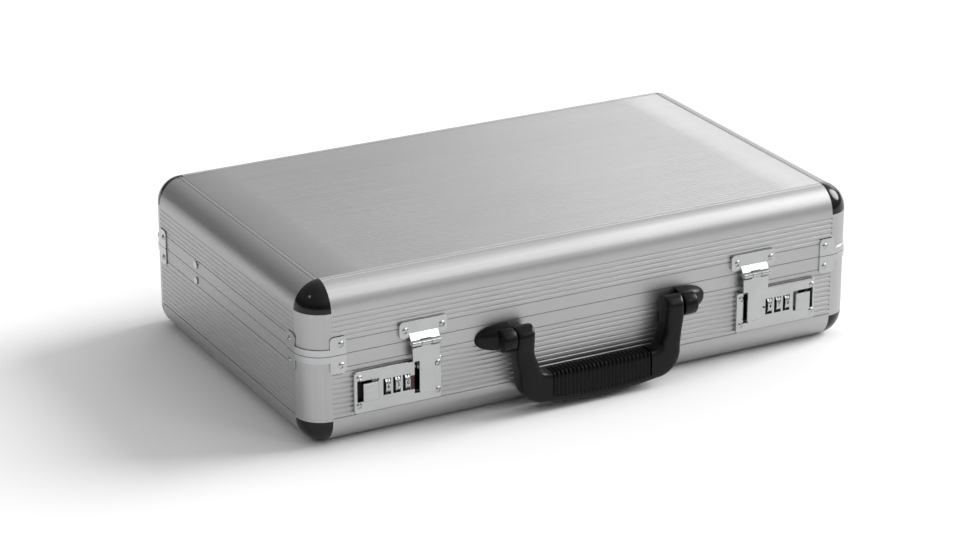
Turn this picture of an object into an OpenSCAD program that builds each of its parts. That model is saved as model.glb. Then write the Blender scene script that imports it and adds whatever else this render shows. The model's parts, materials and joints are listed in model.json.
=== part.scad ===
// Attache case: two shells of rolled aluminium profiles around ribbed panels, hinged along
// the back, with two combination locks, a drop handle and folding lid stays.
// Origin: centre of the underside. +X runs along the front, -Y is the front, +Z is up.

/* [Case] */
// Width over the side walls
case_w = 460; // [440:1:480]
// Depth from the front wall to the back wall
case_d = 280; // [270:1:300]
// Height of the closed case
case_h = 122.4; // [118:0.2:130]
// Height of the seam between base and lid
seam_z = 70.4; // [69:0.2:72]
// Radius of the rolled edges, corner posts and corner caps
edge_r = 20; // [19:0.5:21]
// Wall thickness of the profiles
wall = 1.6; // [1.4:0.1:1.8]
// Gap at the seam
seam_gap = 0.4; // [0.2:0.1:0.6]

/* [Ribs] */
// Distance between the ribs of the profiles
rib_pitch = 3.8; // [3:0.1:5]
// Depth of the grooves between the ribs, front and back
rib_depth = 0.5; // [0.3:0.05:0.7]
// Depth of the grooves between the ribs of the side walls
side_rib_depth = 0.2; // [0.1:0.05:0.5]
// Height of the smooth band beside the seam
band_h = 10.4; // [9:0.2:12]

/* [Locks] */
// Distance from the middle of the case to the near end of each lock plate
lock_x = 124.5; // [120:0.5:126]
// Length of a lock plate
lock_len = 70; // [69:0.5:72]
// Lowest edge of a lock plate
lock_z = 23; // [22.5:0.5:24]
// Height of a lock plate
lock_h = 32.5; // [32:0.5:33]
// Distance that a lock plate stands off the wall
lock_t = 3.2; // [3:0.1:3.4]
// Radius of a number dial
dial_r = 9; // [8.8:0.1:9.2]
// Width of a number dial
dial_w = 5.4; // [5:0.1:5.6]
// Distance between the dials
dial_pitch = 7.8; // [7.4:0.1:8]
// Travel of the slide buttons
slide_travel = 3.5; // [2:0.5:3.5]

/* [Handle] */
// Half of the width over the handle's arms
handle_half = 70.2; // [69:0.1:70.6]
// Height of the handle's pivots
handle_z = 60; // [59:0.5:60]
// Distance of the handle's pivots from the front wall
handle_t = 10; // [10:0.5:11]
// Radius of the handle's pivot pins
handle_pin_r = 3; // [2.5:0.1:3.5]

/* [Hinge and stays] */
// Distance of the hinge axis from the back wall
hinge_t = 2.5; // [2.4:0.1:2.8]
// Outer radius of the hinge knuckles
knuckle_r = 2.3; // [2.1:0.05:2.35]
// Number of hinge knuckles
knuckles = 25; // [15:2:31]
// Distance of the stay pivots from the hinge, along the case
stay_y = 89.5; // [80:0.5:100]
// Height of the stay pivots above and below the seam
stay_dz = 6.3; // [6.1:0.1:6.5]

/* [Hidden] */
$fn = 64;

ALUMINIUM = "silver";
CHROME = "gainsboro";
BLACK = [0.06, 0.06, 0.065];
FABRIC = [0.12, 0.12, 0.13];

eps = 0.01;                                 // overlap that makes two shapes one solid
fit = 0.05;                                 // radial clearance of a running fit
half_w = case_w / 2;
half_d = case_d / 2;
post_x = half_w - edge_r;                   // axes of the corner posts
post_y = half_d - edge_r;
base_h = seam_z - seam_gap / 2;             // height of each shell's wall
lid_h = case_h - seam_z - seam_gap / 2;
panel_t = 1.2;
panel_ledge = 9;                            // width of the shelf under a panel
shelf_z = panel_t + 0.1;                    // depth of that shelf below the panel's outer face
tongue_u = 2.4;                             // the rim tongue: distance in, thickness and heights
tongue_t = 1.2;
tongue_below = 3;
tongue_above = 4;
base_rib_start = 5.4;                       // first rib, above the roll's foot
lid_rib_start = 3.2;
cap_t = 2.8;
cap_tongue_len = 6;                         // reach of a cap's tongues into the rolls and the post
cap_tongue_clear = 3.4;                     // start of a roll's tongue, clear of the shelf

// Corner brackets
bracket_t = 0.9;
bracket_strip = 5;                          // height of the strip round the post
bracket_tab_u = [18, 30.8];                 // the tab's sides, from the side wall
bracket_tab_h = 14;                         // the tab's height from the seam
bracket_tab_r = 3;                          // radius of its corners
bracket_rivet = [26.5, 8.1];                // distance from the side wall and from the seam

// Rivets
rivet_r = 1.5;
rivet_head_r = 2.4;
rivet_head_h = 1.1;

// Lock: lx counts outwards from the middle of the case, t outwards from the front wall
lock_face = 1.2;
lock_end = lock_x + lock_len;
lock_rivets = [[lock_x + 3.7, lock_z + 6.4], [lock_x + 3.7, lock_z + 27.4],
               [lock_end - 3.5, lock_z + 6.4], [lock_end - 3.5, lock_z + 27.4]];
hasp_slot = [130.3, 146.7];
hasp_slot_z = 30.2;
dial_x = 153.1;
dial_z = 40;
dial_out = 1.2;                             // how far a dial stands out of the plate
dial_t = lock_t + dial_out - dial_r;        // t of the dials' axis
dial_axle_r = 1.5;
window_h = 12.6;
button_x = [176, 188.5];
button_z = [32.5, 46.5];
button_t = lock_t + 2.8;                    // t of the button's face
button_slot_gap = [0.9, 1.5];               // gaps beside the button and above it
slide_t = [0.3, 1.7];                       // the slide plate behind the lock plate
slide_z = [34, 46.5];
slide_riser = 6;                            // width of the part that rises to the bar
slide_bar_z = [48.2, 51.4];
slide_tip_x = 145;
slide_tab_x = [174, 175.4];
slide_tab_z = [37, 42];
slide_tab_depth = 9;
opening_x = [131.8, 187];                   // the hole in the front wall behind a lock
opening_z = [30.8, 51.6];
case_x = [130.6, 188.4];                    // the lock case inside the wall
case_z = [28, 53];
case_depth = 14;
case_wall = 1;
spring_r = 2.2;
spring_wire = 0.35;
spring_turns = 7;

// Hasp and keeper
hasp_axis_t = 6.2;
hasp_axis_z = 69.8;
hasp_knuckle_r = 2.2;
hasp_pin_r = 1;
hasp_knuckle_x = [127.5, 150.5];            // whole knuckle, and its middle third
hasp_middle_x = [135.2, 142.8];
knuckle_gap = 0.35;
hasp_t = [5.2, 6.8];
hasp_blade_x = [132, 144.4];                // the part that hangs over the slot
hasp_hook_x = 134;
hasp_low_z = 31;
hasp_step_z = 56.2;
keeper_x = [119.5, 158];
keeper_z = [73.2, 86];
keeper_t = 2.4;
keeper_rivets = [[124.3, 79.4], [153.7, 79.4]];

// Handle
arm_inner = 55.5;
handle_foot = 67.3;                         // half width where the arms turn into the grip
gap_half = 50;                              // half width of the finger gap at the grip
gap_r = 5;
arm_straight_z = 50;                        // the arms flare out up to this height
arm_depth = 15;
arm_end_r = 8.8;
grip_back_t = 3;
grip_front_t = 19;
grip_top_z = 30.5;
grip_low_z = 3.5;
grip_corner_r = 20;
grip_bow = 3.9;                             // rise of the grip's lower edge at its corners
mount_x = [70.7, 96.6];
mount_z = [49.6, 69.8];
mount_t = 6.4;
boss_x = [70.7, 81.5];
boss_rise_t = 11;                           // the mount's thickness beside its boss
handle_screws = [76, 88];
handle_screw_z = 56;

// Hinge
hinge_half = 198.5;
hinge_leaf_t = 0.9;
hinge_leaf_gap = 2.7;                       // from the axis to the leaf's edge
hinge_leaf_h = 12.5;
hinge_pin_r = 1.1;
hinge_rivet_dz = 9.6;
hinge_rivet_xs = [for (i = [-3:3]) i * 62];
hinge_y = half_d + hinge_t;
knuckle_len = 2 * hinge_half / knuckles;

// Stays: u counts inwards from the side wall
stay_lower_u = [4.7, 6.1];
stay_upper_u = [6.4, 7.8];
stay_half = 4.4;
stay_pin_r = 2;
stay_head_r = 2.9;
stay_len = sqrt(pow(stay_y, 2) + pow(stay_dz, 2));
stay_rear_y = hinge_y - stay_y;
stay_elbow_y = hinge_y - 2 * stay_y;

// Lining
lining_u = [5, 7];
lining_low = 14;
lining_base_top = 58.4;
lining_lid_low = 82;
board_in = 17.5;

// ---------- shared shapes ----------

// A slab between two corners
module box3(a, b) translate(a) cube(b - a);

// Puts a (u, v) outline on the wall that faces angle a (0 front, 90 right, 180 back, 270 left):
// u runs inwards from the wall, v upwards, and the length is centred
module along_wall(a, length) {
    reach = (a % 180 == 0) ? half_d : half_w;
    rotate([0, 0, a]) translate([-length / 2, -reach, 0]) rotate([90, 0, 90])
        linear_extrude(height = length) children();
}

// Mirrors its children to the left half for s = -1
module side(s) mirror([s < 0 ? 1 : 0, 0, 0]) children();

// Moves children drawn with t outwards from the front wall (as +Z) on to that wall
module on_front() translate([0, -half_d, 0]) rotate([90, 0, 0]) children();

// A slab given as x, z and t ranges on the front wall
module front_slab(x, z, t) box3([x[0], -half_d - t[1], z[0]], [x[1], -half_d - t[0], z[1]]);

// A round bar through the front wall at (x, z), from t[0] to t[1]
module front_bar(x, z, r, t) translate([x, -half_d - t[0], z]) rotate([90, 0, 0])
    cylinder(h = t[1] - t[0], r = r);

// A bar along X at depth t and height z
module cross_bar(x, t, z, r) translate([x[0], -half_d - t, z]) rotate([0, 90, 0])
    cylinder(h = x[1] - x[0], r = r);

// A domed rivet head with a dimple, on the plane z = 0, with its shank and set tail below
module rivet(grip) {
    difference() {
        rotate_extrude() intersection() {
            translate([0, rivet_head_h - 3.2]) circle(3.2);
            square([rivet_head_r, rivet_head_h]);
        }
        translate([0, 0, rivet_head_h - 0.4]) cylinder(h = 1, r = 0.9);
    }
    translate([0, 0, -grip - 0.7]) cylinder(h = grip + 0.7 + eps, r = rivet_r);
    translate([0, 0, -grip - 0.7]) cylinder(h = 0.65, r = rivet_r + 0.6);
}

// ---------- shells ----------

// The outline of a profile: a wall of height h, a quarter-round roll and the panel's shelf.
// The base's has a groove at the foot of the roll and a tongue in its rim
module profile_outline(h, rib_low, depth, base) {
    difference() {
        union() {
            intersection() {
                translate([edge_r, edge_r]) difference() {
                    circle(edge_r, $fn = 96);
                    circle(edge_r - wall, $fn = 96);
                }
                square([edge_r, edge_r]);
            }
            translate([0, edge_r]) square([wall, h - edge_r]);
            translate([edge_r - 2.4, 0.16]) square([2.4, shelf_z + wall - 0.16]);
            translate([edge_r - 2.4, shelf_z]) square([2.4 + panel_ledge, wall]);
            if (base) {
                translate([tongue_u, h - tongue_below]) square([tongue_t, tongue_below + tongue_above]);
                translate([wall - eps, h - tongue_below]) square([tongue_u - wall + 2 * eps, tongue_t]);
            }
        }
        // ribs between the roll and the smooth band
        for (v = [rib_low : rib_pitch : h - band_h - 1]) translate([depth - 1, v]) circle(1);
        // the line at the top of the ribs, and the one at the foot of the roll
        translate([-1, h - band_h]) square([1.6, 0.5]);
        if (base) translate([-1, edge_r + 1.6]) square([1.7, 0.6]);
        // the two lines along the panel's edge
        for (u = [1.2, 4.4]) translate([edge_r - u, -0.55 + pow(u, 2) / (2 * edge_r)]) circle(0.9);
    }
}

// A corner post: quarter tube from the roll to the seam
module post(low, high) translate([post_x, -post_y, low]) rotate([0, 0, -90])
    rotate_extrude(angle = 90, $fn = 96) translate([edge_r - wall, 0]) square([wall, high - low]);

// A corner cap: an eighth of a sphere with tongues that push into the rolls and the post.
// Drawn for the front right corner of the base
module cap_piece() {
    r_in = edge_r - wall - fit;
    translate([post_x, -post_y, edge_r]) {
        intersection() {
            difference() {
                sphere(edge_r, $fn = 96);
                sphere(edge_r - cap_t, $fn = 96);
            }
            translate([0, -edge_r - 1, -edge_r - 1]) cube([edge_r + 1, edge_r + 1, edge_r + 1]);
        }
        // tongue into the post
        rotate([0, 0, -90]) translate([0, 0, -eps]) rotate_extrude(angle = 90, $fn = 96)
            translate([edge_r - cap_t, 0]) square([r_in - edge_r + cap_t, cap_tongue_len]);
        // tongues into the two rolls
        cap_tongue();
        rotate([0, 0, 90]) mirror([1, 0, 0]) cap_tongue();
    }
}
module cap_tongue() rotate([90, 0, -90]) translate([0, 0, -eps]) intersection() {
    difference() {
        cylinder(h = cap_tongue_len, r = edge_r - wall - fit, $fn = 96);
        translate([0, 0, -1]) cylinder(h = cap_tongue_len + 2, r = edge_r - cap_t, $fn = 96);
    }
    translate([cap_tongue_clear, -edge_r, -1]) cube([edge_r, edge_r, cap_tongue_len + 2]);
}
module cap(sx, sy, top) translate([0, 0, top ? case_h : 0]) mirror([0, 0, top ? 1 : 0])
    mirror([sx < 0 ? 1 : 0, 0, 0]) mirror([0, sy > 0 ? 1 : 0, 0]) color(BLACK) cap_piece();

// A corner bracket of the lid, at the front right corner: a strip round the post with a
// riveted tab on each wall. z counts up from the seam
module bracket_piece() difference() {
    union() {
        translate([post_x, -post_y, seam_gap / 2]) rotate([0, 0, -90]) rotate_extrude(angle = 90, $fn = 96)
            translate([edge_r + fit, 0]) square([bracket_t - fit, bracket_strip]);
        bracket_tab();
        translate([post_x, -post_y, 0]) mirror([1, 1, 0]) translate([-post_x, post_y, 0]) bracket_tab();
    }
    bracket_rivets() rivet_hole();
}
module bracket_tab() {
    x = [half_w - bracket_tab_u[1], half_w - bracket_tab_u[0]];
    r = bracket_tab_r;
    low = seam_gap / 2;
    translate([0, -half_d - fit, 0]) rotate([90, 0, 0]) linear_extrude(height = bracket_t - fit) {
        for (c = [x[0] + r, x[1] - r]) translate([c, bracket_tab_h - r]) circle(r);
        translate([x[0], low]) square([x[1] - x[0], bracket_tab_h - r - low]);
        translate([x[0] + r, low]) square([x[1] - x[0] - 2 * r, bracket_tab_h - low]);
    }
}
module rivet_hole() translate([0, 0, -5]) cylinder(h = 10, r = rivet_r + fit);
// Places its children, drawn along +Z, at the two rivets of the front right corner
module bracket_rivets() {
    translate([half_w - bracket_rivet[0], -half_d - bracket_t, bracket_rivet[1]])
        rotate([90, 0, 0]) children();
    translate([half_w + bracket_t, -half_d + bracket_rivet[0], bracket_rivet[1]])
        rotate([0, 90, 0]) children();
}
// All four corners: children drawn for the front right corner, z from the seam
module four_corners(top) translate([0, 0, seam_z]) mirror([0, 0, top ? 0 : 1])
    for (mx = [0, 1], my = [0, 1]) mirror([mx, 0, 0]) mirror([0, my, 0]) children();

// Holes that the base's and lid's fasteners need
module base_holes() {
    four_corners(false) bracket_rivets() rivet_hole();
    for (s = [-1, 1]) side(s) {
        for (p = lock_rivets) front_bar(p[0], p[1], rivet_r + fit, [-6, 6]);
        front_slab(opening_x, opening_z, [-4, 1]);
        for (x = handle_screws) front_bar(x, handle_screw_z, rivet_r + fit, [-4, 1]);
        stay_pin_hole(-1);
    }
    for (x = hinge_rivet_xs) hinge_rivet(x, -1) rivet_hole();
}
module lid_holes() {
    four_corners(true) bracket_rivets() rivet_hole();
    for (s = [-1, 1]) side(s) {
        for (p = keeper_rivets) front_bar(p[0], p[1], rivet_r + fit, [-4, 1]);
        stay_pin_hole(1);
    }
    for (x = hinge_rivet_xs) hinge_rivet(x, 1) rivet_hole();
}
module stay_pin_hole(up) translate([half_w - 4, stay_rear_y, seam_z + up * stay_dz]) rotate([0, 90, 0])
    cylinder(h = 6, r = stay_pin_r + fit);
module hinge_rivet(x, up) translate([x, half_d + hinge_leaf_t, seam_z + up * hinge_rivet_dz])
    rotate([-90, 0, 0]) children();

function rib_depth_at(a) = (a % 180 == 0) ? rib_depth : side_rib_depth;

// The side profiles' shelves stop short of the front and back ones
module shelf_ends(a) if (a % 180 != 0)
    for (s = [-1, 1]) mirror([0, s < 0 ? 0 : 1, 0])
        box3([-post_x, -post_y - 1, -1], [post_x, -post_y + panel_ledge + 0.1, shelf_z + wall + 1]);

module base_profile(a, length) color(ALUMINIUM) difference() {
    along_wall(a, length) profile_outline(base_h, edge_r + base_rib_start, rib_depth_at(a), true);
    base_holes();
    shelf_ends(a);
}
module lid_profile(a, length) color(ALUMINIUM) difference() {
    translate([0, 0, case_h]) mirror([0, 0, 1]) along_wall(a == 0 ? 180 : (a == 180 ? 0 : a), length)
        profile_outline(lid_h, edge_r + lid_rib_start, rib_depth_at(a), false);
    lid_holes();
    translate([0, 0, case_h]) mirror([0, 0, 1]) shelf_ends(a);
}
module panel(z) color(ALUMINIUM)
    box3([-post_x + 0.1, -post_y + 0.1, z], [post_x - 0.1, post_y - 0.1, z + panel_t]);

module base_bottom_panel() panel(0);
module lid_top_panel() panel(case_h - panel_t);
module posts(low, high) color(ALUMINIUM) for (mx = [0, 1], my = [0, 1])
    mirror([mx, 0, 0]) mirror([0, my, 0]) post(low, high);
module base_corner_posts() posts(edge_r, base_h);
module lid_corner_posts() posts(seam_z + seam_gap / 2, case_h - edge_r);
module base_corner_brackets() color(CHROME) four_corners(false) bracket_piece();
module lid_corner_brackets() color(CHROME) four_corners(true) bracket_piece();

module base_rivets() color(CHROME) {
    four_corners(false) bracket_rivets() rivet(wall + bracket_t);
    for (s = [-1, 1]) side(s) {
        for (p = lock_rivets) translate([p[0], -half_d - lock_t, p[1]]) rotate([90, 0, 0])
            rivet(lock_t + wall + case_wall);
        stay_pin(-1, stay_lower_u[1]);
        for (x = handle_screws) handle_screw(x);
    }
    for (x = hinge_rivet_xs) hinge_rivet(x, -1) rivet(wall + hinge_leaf_t);
}
module lid_rivets() color(CHROME) {
    four_corners(true) bracket_rivets() rivet(wall + bracket_t);
    for (s = [-1, 1]) side(s) {
        for (p = keeper_rivets) translate([p[0], -half_d - keeper_t, p[1]]) rotate([90, 0, 0])
            rivet(wall + keeper_t);
        stay_pin(1, stay_upper_u[1]);
    }
    for (x = hinge_rivet_xs) hinge_rivet(x, 1) rivet(wall + hinge_leaf_t);
}
// A pin through the side wall with a head outside and inside, up to the depth u
module stay_pin(up, u) translate([half_w, stay_rear_y, seam_z + up * stay_dz]) rotate([0, 90, 0]) {
    translate([0, 0, -u - 0.7]) cylinder(h = u + 0.7 + 0.9, r = stay_pin_r);
    cylinder(h = 0.9, r = stay_head_r);
    translate([0, 0, -u - 0.7]) cylinder(h = 0.6, r = stay_head_r);
}
// A screw from inside the case into the handle's mount
module handle_screw(x) {
    front_bar(x, handle_screw_z, rivet_r, [-wall - 0.1, 4.5]);
    front_bar(x, handle_screw_z, 3, [-wall - 1.4, -wall]);
}

// ---------- lining ----------

module rounded_slab(in, z, r) translate([0, 0, z[0]]) linear_extrude(height = z[1] - z[0])
    rounded_rect(half_w - in, half_d - in, r);
module rounded_rect(x, y, r) {
    square([2 * (x - r), 2 * y], center = true);
    square([2 * x, 2 * (y - r)], center = true);
    for (sx = [-1, 1], sy = [-1, 1]) translate([sx * (x - r), sy * (y - r)]) circle(r);
}
module lining_ring(z) difference() {
    rounded_slab(lining_u[0], z, 13.4);
    rounded_slab(lining_u[1], [z[0] - 1, z[1] + 1], 11.4);
}
module base_lining() color(FABRIC) {
    difference() {
        lining_ring([lining_low, lining_base_top]);
        for (s = [-1, 1]) side(s)
            front_slab([lock_x - 2.5, lock_end + 2], [lock_z - 1, seam_z], [-8, 0]);
    }
    rounded_slab(board_in, [shelf_z + wall + 0.1, shelf_z + wall + 2.1], 14);
}
module lid_lining() color(FABRIC) {
    lining_ring([lining_lid_low, case_h - lining_low]);
    rounded_slab(board_in, [case_h - shelf_z - wall - 2.1, case_h - shelf_z - wall - 0.1], 14);
}

// ---------- locks ----------

module lock_outline() {
    r = 2;
    translate([lock_x + r, lock_z]) square([lock_len - 2 * r, lock_h]);
    translate([lock_x, lock_z + r]) square([lock_len, lock_h - 2 * r]);
    for (x = [lock_x + r, lock_end - r], z = [lock_z + r, lock_z + lock_h - r]) translate([x, z]) circle(r);
}
module lock_plate(s) side(s) color(CHROME) difference() {
    on_front() translate([0, 0, fit]) linear_extrude(height = lock_t - fit) lock_outline();
    // hollow back, with bosses left round the rivets
    difference() {
        front_slab([lock_x + 1.2, lock_end - 1.2], [lock_z + 1.2, lock_z + lock_h - 1.2],
                   [-1, lock_t - lock_face]);
        for (p = lock_rivets) front_bar(p[0], p[1], rivet_r + 1.3, [-2, lock_t]);
    }
    for (p = lock_rivets) front_bar(p[0], p[1], rivet_r + fit, [-2, lock_t + 1]);
    // windows, the button's slot with room for its travel, and the hasp's slot
    for (i = [0:2]) front_slab(dial_window(i), [dial_z - window_h / 2, dial_z + window_h / 2], [0, lock_t + 1]);
    front_slab([button_x[0] - button_slot_gap[0], button_x[1] + slide_travel + 0.3],
               [button_z[0] - 0.4, button_z[1] + button_slot_gap[1]], [0, lock_t + 1]);
    front_slab(hasp_slot, [hasp_slot_z, lock_z + lock_h + 1], [-1, lock_t + 1]);
}
function dial_at(i) = dial_x + i * dial_pitch;
function dial_window(i) = [dial_at(i) - dial_w / 2 - 0.3, dial_at(i) + dial_w / 2 + 0.3];

// The lock case: a flange against the inside of the wall and a box round the dials
module lock_case(s) side(s) color(BLACK) difference() {
    union() {
        front_slab([lock_x, lock_end], [lock_z + 2, lock_z + lock_h - 1.5], [-wall - case_wall, -wall]);
        front_slab(case_x, case_z, [-case_depth - case_wall, -wall]);
    }
    front_slab(case_x + [case_wall, -case_wall], case_z + [case_wall, -case_wall], [-case_depth, 1]);
    for (p = lock_rivets) front_bar(p[0], p[1], rivet_r + fit, [-6, 1]);
}
// The dials' axle, between two ears
module dial_axle(s) side(s) color(CHROME) {
    ends = [dial_at(0) - dial_w / 2 - 1.8, dial_at(2) + dial_w / 2 + 1.8];
    cross_bar(ends, dial_t, dial_z, dial_axle_r);
    for (x = [[ends[0] - 0.4, ends[0] + 1], [ends[1] - 1, ends[1] + 0.4]])
        front_slab(x, [dial_z - 3, dial_z + 3], [-case_depth + 0.1, dial_t + 3]);
}
module dial(s, i) side(s) color(CHROME) difference() {
    cross_bar([dial_at(i) - dial_w / 2, dial_at(i) + dial_w / 2], dial_t, dial_z, dial_r);
    cross_bar([dial_at(i) - dial_w, dial_at(i) + dial_w], dial_t, dial_z, dial_axle_r + fit);
}
// The slide: the button, the plate and bar behind the lock plate, and the tab that its
// spring pushes on
module slide_button(s) side(s) color(CHROME) {
    low_x = slide_tab_x[0];
    front_slab(button_x, button_z, [slide_t[0], button_t]);
    front_slab([low_x, button_x[1]], slide_z, slide_t);
    front_slab([low_x, low_x + slide_riser], [slide_z[0], slide_bar_z[1]], slide_t);
    front_slab([slide_tip_x, low_x + slide_riser], slide_bar_z, slide_t);
    front_slab(slide_tab_x, slide_tab_z, [-slide_tab_depth, slide_t[1]]);
}
// The return spring, at the length that it has with the button pushed out
spring_x = [slide_tab_x[1] + slide_travel + 0.3, case_x[1] - case_wall - 0.1];
function spring_point(a) = [
    spring_x[0] + spring_wire + (spring_x[1] - spring_x[0] - 2 * spring_wire) * a / (360 * spring_turns),
    spring_r * cos(a), spring_r * sin(a)];
module button_spring(s) side(s) color(CHROME) {
    steps = 14 * spring_turns;
    sides = 6;
    points = [for (i = [0:steps]) let (a = 360 * spring_turns * i / steps, p = spring_point(a))
        for (j = [0:sides - 1]) let (b = 360 * j / sides)
            p + spring_wire * (cos(b) * [0, cos(a), sin(a)] + sin(b) * [1, 0, 0])];
    faces = [for (i = [0:steps - 1], j = [0:sides - 1])
        let (a = i * sides + j, b = i * sides + (j + 1) % sides) [a, b, b + sides, a + sides]];
    translate([0, -half_d + 6, 39.5])
        polyhedron(points, concat(faces, [[for (j = [sides - 1:-1:0]) j]],
                                  [[for (j = [0:sides - 1]) steps * sides + j]]));
}

// ---------- hasps and keepers ----------

// The keeper on the lid, with a sloping lip that carries the outer knuckles
module keeper(s) side(s) color(CHROME) {
    r = 3;
    outer = [[hasp_knuckle_x[0], hasp_middle_x[0] - knuckle_gap], [hasp_middle_x[1] + knuckle_gap, hasp_knuckle_x[1]]];
    difference() {
        union() {
            on_front() translate([0, 0, fit]) linear_extrude(height = keeper_t - fit) {
                translate([keeper_x[0] + r, keeper_z[0]])
                    square([keeper_x[1] - keeper_x[0] - 2 * r, keeper_z[1] - keeper_z[0]]);
                translate([keeper_x[0], keeper_z[0] + r])
                    square([keeper_x[1] - keeper_x[0], keeper_z[1] - keeper_z[0] - 2 * r]);
                for (x = [keeper_x[0] + r, keeper_x[1] - r], z = [keeper_z[0] + r, keeper_z[1] - r])
                    translate([x, z]) circle(r);
            }
            front_outline([outer[0][1], outer[1][0]]) keeper_lip(hasp_knuckle_r + 0.5);
            for (x = outer) front_outline(x) {
                keeper_lip(0);
                translate([hasp_axis_t, hasp_axis_z]) circle(hasp_knuckle_r);
            }
        }
        cross_bar([hasp_knuckle_x[0] - 1, hasp_knuckle_x[1] + 1], hasp_axis_t, hasp_axis_z, hasp_pin_r);
        for (p = keeper_rivets) front_bar(p[0], p[1], rivet_r + fit, [-1, 3]);
    }
}
// Extrudes a (t, z) outline from x[0] to x[1] on the front wall
module front_outline(x) translate([x[0], -half_d, 0]) rotate([90, 0, 90]) mirror([1, 0, 0])
    linear_extrude(height = x[1] - x[0]) children();
// The lip's (t, z) section: a sloping strip from the hasp's axis, less its first stretch, to the plate
module keeper_lip(from) intersection() {
    run = [0.8 - hasp_axis_t, 78 - hasp_axis_z];
    translate([hasp_axis_t, hasp_axis_z]) rotate(atan2(run[1], run[0]))
        translate([from, -0.7]) square([norm(run) - from, 1.4]);
    translate([0.7, 60]) square([20, 40]);
}

module hasp(s) side(s) color(CHROME) difference() {
    union() {
        cross_bar(hasp_middle_x, hasp_axis_t, hasp_axis_z, hasp_knuckle_r);
        front_slab(hasp_middle_x, [66, hasp_axis_z], hasp_t);
        front_slab([hasp_knuckle_x[0] + 0.4, hasp_knuckle_x[1] - 0.8], [hasp_step_z, 66.8], hasp_t);
        front_slab(hasp_blade_x, [hasp_low_z + 1, hasp_step_z + 1], hasp_t);
        // a thumb edge at the foot, and the hook that the slide's bar holds
        front_slab(hasp_blade_x, [hasp_low_z, hasp_low_z + 2], hasp_t + [0.4, 0.6]);
        front_slab([hasp_hook_x, hasp_blade_x[1]], [slide_bar_z[0], slide_bar_z[1] + 1.2],
                   [0.6, hasp_t[1]]);
    }
    cross_bar(hasp_knuckle_x, hasp_axis_t, hasp_axis_z, hasp_pin_r + fit);
}
module hasp_pin(s) side(s) color(CHROME) cross_bar(hasp_knuckle_x, hasp_axis_t, hasp_axis_z, hasp_pin_r);

// ---------- handle ----------

module handle_front_outline() difference() {
    corner_x = handle_foot - grip_corner_r;
    corner_z = grip_low_z + grip_bow + grip_corner_r;
    bow_r = (pow(corner_x, 2) + pow(grip_bow, 2)) / (2 * grip_bow);
    union() {
        polygon([[-handle_foot, corner_z], [handle_foot, corner_z], [handle_half, arm_straight_z],
                 [handle_half, 90], [-handle_half, 90], [-handle_half, arm_straight_z]]);
        for (s = [-1, 1]) translate([s * corner_x, corner_z]) circle(grip_corner_r);
        intersection() {
            translate([0, grip_low_z + bow_r]) circle(bow_r, $fn = 360);
            translate([-corner_x, 0]) square([2 * corner_x, corner_z]);
        }
    }
    // the opening for the fingers
    translate([gap_r - gap_half, grip_top_z]) square([2 * (gap_half - gap_r), 2 * gap_r]);
    for (s = [-1, 1]) translate([s * (gap_half - gap_r), grip_top_z + gap_r]) circle(gap_r);
    polygon([[-gap_half, grip_top_z + gap_r], [gap_half, grip_top_z + gap_r], [arm_inner, arm_straight_z],
             [arm_inner, 91], [-arm_inner, 91], [-arm_inner, arm_straight_z]]);
}
// Seen from the side: t across, z up
module handle_side_outline() {
    r = 6;
    translate([handle_t, handle_z]) circle(arm_end_r);
    translate([handle_t - arm_depth / 2, grip_top_z - 5]) square([arm_depth, handle_z - grip_top_z + 5]);
    translate([grip_back_t, r]) square([grip_front_t - grip_back_t, grip_top_z - 2 * r]);
    translate([grip_back_t + r, 0]) square([grip_front_t - grip_back_t - 2 * r, grip_top_z]);
    for (t = [grip_back_t + r, grip_front_t - r], z = [r, grip_top_z - r]) translate([t, z]) circle(r);
}
module handle() color(BLACK) difference() {
    intersection() {
        translate([0, -half_d, 0]) rotate([90, 0, 0]) linear_extrude(height = 30) handle_front_outline();
        translate([-100, -half_d, 0]) rotate([90, 0, 90]) mirror([1, 0, 0])
            linear_extrude(height = 200) handle_side_outline();
    }
    for (s = [-1, 1]) side(s)
        cross_bar([arm_inner + 3, handle_half + 1], handle_t, handle_z, handle_pin_r + fit);
}
module handle_mount(s) side(s) color(BLACK) difference() {
    mid_z = (mount_z[0] + mount_z[1]) / 2;
    half_z = (mount_z[1] - mount_z[0]) / 2;
    union() {
        hull() {
            on_front() translate([0, 0, fit]) mount_slice(mid_z, half_z, 0);
            on_front() translate([0, 0, mount_t - 1]) mount_slice(mid_z, half_z, 4);
            front_slab([boss_x[0], boss_x[1] + 0.5], [mount_z[0] + 3.4, mount_z[1] - 3.4],
                       [boss_rise_t - 1, boss_rise_t]);
        }
        cross_bar(boss_x, handle_t, handle_z, arm_end_r);
        front_slab(boss_x, [handle_z - arm_end_r, handle_z + arm_end_r], [fit, handle_t]);
    }
    cross_bar([boss_x[0] - 1, boss_x[1] - 1.5], handle_t, handle_z, handle_pin_r);
    for (x = handle_screws) front_bar(x, handle_screw_z, rivet_r, [-1, 4.6]);
}
// A thin slice of the mount's outline: straight at the arm, half round at the far end
module mount_slice(mid_z, half_z, in) linear_extrude(height = 1) hull() {
    translate([mount_x[0], mid_z - half_z + in / 2]) square([1, 2 * half_z - in]);
    translate([mount_x[1] - half_z, mid_z]) circle(half_z - in, $fn = 32);
}
module handle_pins() color(CHROME) for (s = [-1, 1]) side(s)
    cross_bar([arm_inner + 3.4, boss_x[1] - 1.5], handle_t, handle_z, handle_pin_r);

// ---------- hinge ----------

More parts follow.
